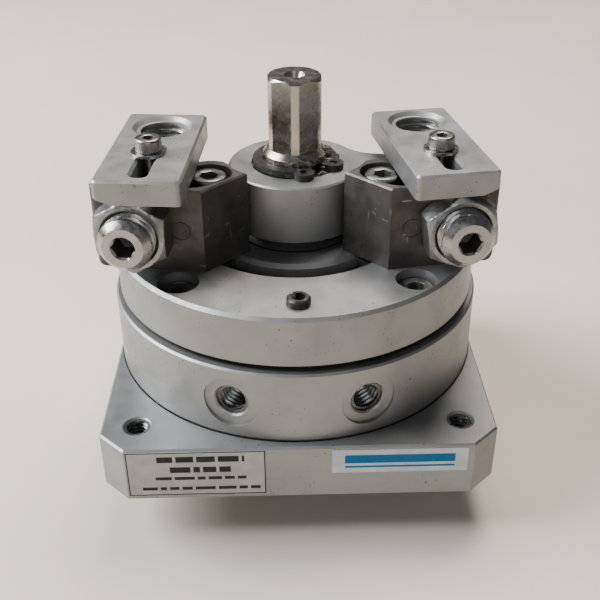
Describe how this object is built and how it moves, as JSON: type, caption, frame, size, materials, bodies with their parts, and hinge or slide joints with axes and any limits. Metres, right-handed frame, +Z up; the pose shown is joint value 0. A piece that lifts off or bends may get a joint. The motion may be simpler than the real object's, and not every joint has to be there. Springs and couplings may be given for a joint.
{
  "type": "rotary pneumatic actuator",
  "caption": "Semi-rotary vane drive with a square flanged base, a round housing, an adjustable double stop with sensor plates, a hexagonal shaft end and an output flange.",
  "frame": {"origin": "shaft axis at the output flange's lower face, which is also what the part stands on", "axes": "+Z up along the shaft, -Y towards the side with the air ports and labels, +X to the right of it"},
  "size_m": [0.06, 0.0626, 0.0636],
  "materials": {
    "anodised_aluminium": "satin clear anodised",
    "sintered_steel": "matte dark sintered steel",
    "zinc_plated_steel": "zinc plated, slightly speckled",
    "bright_steel": "ground and polished",
    "bearing_steel": "polished",
    "brass_sheet": "pressed",
    "blackened_steel": "black phosphated",
    "black_rubber": "matte",
    "printed_label": "satin foil",
    "blue_label": "satin foil with a blue print"
  },
  "bodies": {
    "housing": {"base_plate": "anodised_aluminium", "vane_drum": "anodised_aluminium", "cover_ring": "anodised_aluminium", "bearing_retainer": "anodised_aluminium", "lower_o_ring": "black_rubber", "upper_o_ring": "black_rubber", "housing_screws": "zinc_plated_steel", "spring_pin": "blackened_steel", "stator": "anodised_aluminium", "stator_seal": "black_rubber", "data_label": "printed_label", "maker_label": "blue_label", "lower_shaft_seal": "black_rubber", "upper_shaft_seal": "black_rubber", "wiper_ring": "black_rubber", "upper_outer_race": "bearing_steel", "lower_outer_race": "bearing_steel"},
    "rotor": {"drive_shaft": "bright_steel", "vane": "anodised_aluminium", "vane_seal": "black_rubber", "stop_lever": "anodised_aluminium", "circlip": "blackened_steel", "upper_inner_race": "bearing_steel", "upper_balls": "bearing_steel", "upper_ball_cage": "brass_sheet", "lower_inner_race": "bearing_steel", "lower_balls": "bearing_steel", "lower_ball_cage": "brass_sheet"},
    "right_stop": {"right_stop_block": "sintered_steel", "right_clamp_screw": "zinc_plated_steel", "right_clamp_nut": "zinc_plated_steel", "right_lock_nut": "zinc_plated_steel", "right_plate_screw": "bright_steel", "right_plate_washer": "bright_steel"},
    "right_screw": {"right_stop_screw": "bright_steel"},
    "right_buffer": {"right_stop_buffer": "black_rubber"},
    "right_plate": {"right_sensor_plate": "anodised_aluminium"},
    "left_stop": {"left_stop_block": "sintered_steel", "left_clamp_screw": "zinc_plated_steel", "left_clamp_nut": "zinc_plated_steel", "left_lock_nut": "zinc_plated_steel", "left_plate_screw": "bright_steel", "left_plate_washer": "bright_steel"},
    "left_screw": {"left_stop_screw": "bright_steel"},
    "left_buffer": {"left_stop_buffer": "black_rubber"},
    "left_plate": {"left_sensor_plate": "anodised_aluminium"}
  },
  "joints": [
    {"name": "rotor_swing", "type": "hinge", "parent": "housing", "child": "rotor", "pos_m": [0, 0, 0.045], "axis": [0, 0, 1], "range_deg": [0, 180]},
    {"name": "right_stop_shift", "type": "hinge", "parent": "housing", "child": "right_stop", "pos_m": [0, 0, 0.0385], "axis": [0, 0, 1], "range_deg": [-35, 0]},
    {"name": "right_stop_screw_travel", "type": "slide", "parent": "right_stop", "child": "right_screw", "axis": [0.1564, -0.9877, 0], "range_m": [0, 0.003]},
    {"name": "right_buffer_press", "type": "slide", "parent": "right_screw", "child": "right_buffer", "axis": [0.1564, -0.9877, 0], "range_m": [0, 0.001], "stiffness_N_per_m": 2000},
    {"name": "right_plate_slide", "type": "slide", "parent": "right_stop", "child": "right_plate", "axis": [-0.1564, 0.9877, 0], "range_m": [-0.002, 0.006]},
    {"name": "left_stop_shift", "type": "hinge", "parent": "housing", "child": "left_stop", "pos_m": [0, 0, 0.0385], "axis": [0, 0, 1], "range_deg": [0, 35]},
    {"name": "left_stop_screw_travel", "type": "slide", "parent": "left_stop", "child": "left_screw", "axis": [-0.1564, -0.9877, 0], "range_m": [0, 0.003]},
    {"name": "left_buffer_press", "type": "slide", "parent": "left_screw", "child": "left_buffer", "axis": [-0.1564, -0.9877, 0], "range_m": [0, 0.001], "stiffness_N_per_m": 2000},
    {"name": "left_plate_slide", "type": "slide", "parent": "left_stop", "child": "left_plate", "axis": [0.0732, 0.9973, 0], "range_m": [-0.0005, 0.0074]}
  ]
}
